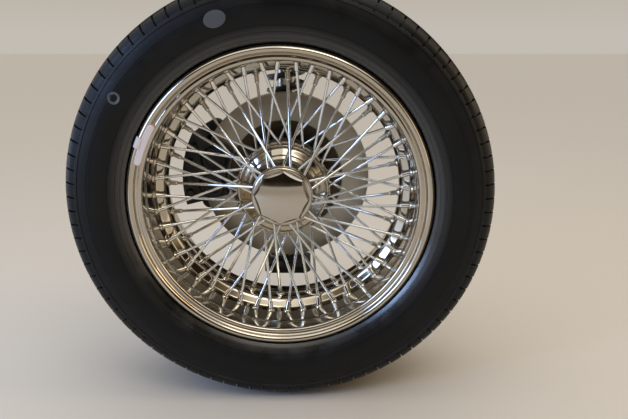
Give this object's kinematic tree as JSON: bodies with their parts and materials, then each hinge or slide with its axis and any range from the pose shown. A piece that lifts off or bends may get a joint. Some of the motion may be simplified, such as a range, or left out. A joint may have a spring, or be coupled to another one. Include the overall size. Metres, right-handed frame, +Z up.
{
  "type": "wire wheel on stub axle",
  "caption": "Laced wire wheel with tyre and knock-off nut, on a braked stub axle that steers and is sprung on an upright pillar.",
  "frame": {"origin": "halfway up the threaded pin at the top of the pillar, on the kingpin's axis", "axes": "+Z up the kingpin, -Y outboard along the axle, +X towards the car's rear"},
  "size_m": [0.632, 0.301, 0.6319],
  "materials": {
    "tyre": "matte rubber",
    "rim_chrome": "polished",
    "spoke_chrome": "polished",
    "nipple_chrome": "polished",
    "hub_chrome": "polished",
    "nut_chrome": "polished",
    "adaptor_steel": "machined",
    "disc_iron": "turned",
    "weight_grey": "satin",
    "pillar_steel": "ground",
    "spring_black": "powder coat",
    "forging_black": "satin paint",
    "caliper_paint": "satin paint",
    "pad_lining": "moulded"
  },
  "bodies": {
    "pillar": {"kingpin": "pillar_steel", "pillar_foot": "forging_black", "spring_cup": "forging_black", "main_spring": "spring_black", "rebound_spring": "spring_black"},
    "stub_axle": {"stub_axle": "forging_black", "thrust_washer": "pillar_steel", "steering_arm": "forging_black", "caliper_bracket": "forging_black", "brake_caliper": "caliper_paint", "brake_pad_outer": "pad_lining", "brake_pad_inner": "pad_lining"},
    "wheel": {"tyre": "tyre", "rim": "rim_chrome", "flange_spokes_right": "spoke_chrome", "flange_spokes_left": "spoke_chrome", "nose_spokes_right": "spoke_chrome", "nose_spokes_left": "spoke_chrome", "flange_nipples": "nipple_chrome", "nose_nipples": "nipple_chrome", "hub_shell": "hub_chrome", "hub_adaptor": "adaptor_steel", "brake_disc": "disc_iron", "knock_off_nut": "nut_chrome", "balance_weight": "weight_grey"}
  },
  "joints": [
    {"name": "steering", "type": "hinge", "parent": "pillar", "child": "stub_axle", "pos_m": [0, 0, -0.2415], "axis": [0, 0, 1], "range_deg": [-30, 30]},
    {"name": "wheel_spin", "type": "hinge", "parent": "stub_axle", "child": "wheel", "pos_m": [0, -0.155, -0.2415], "axis": [0, 1, 0], "continuous": true}
  ]
}
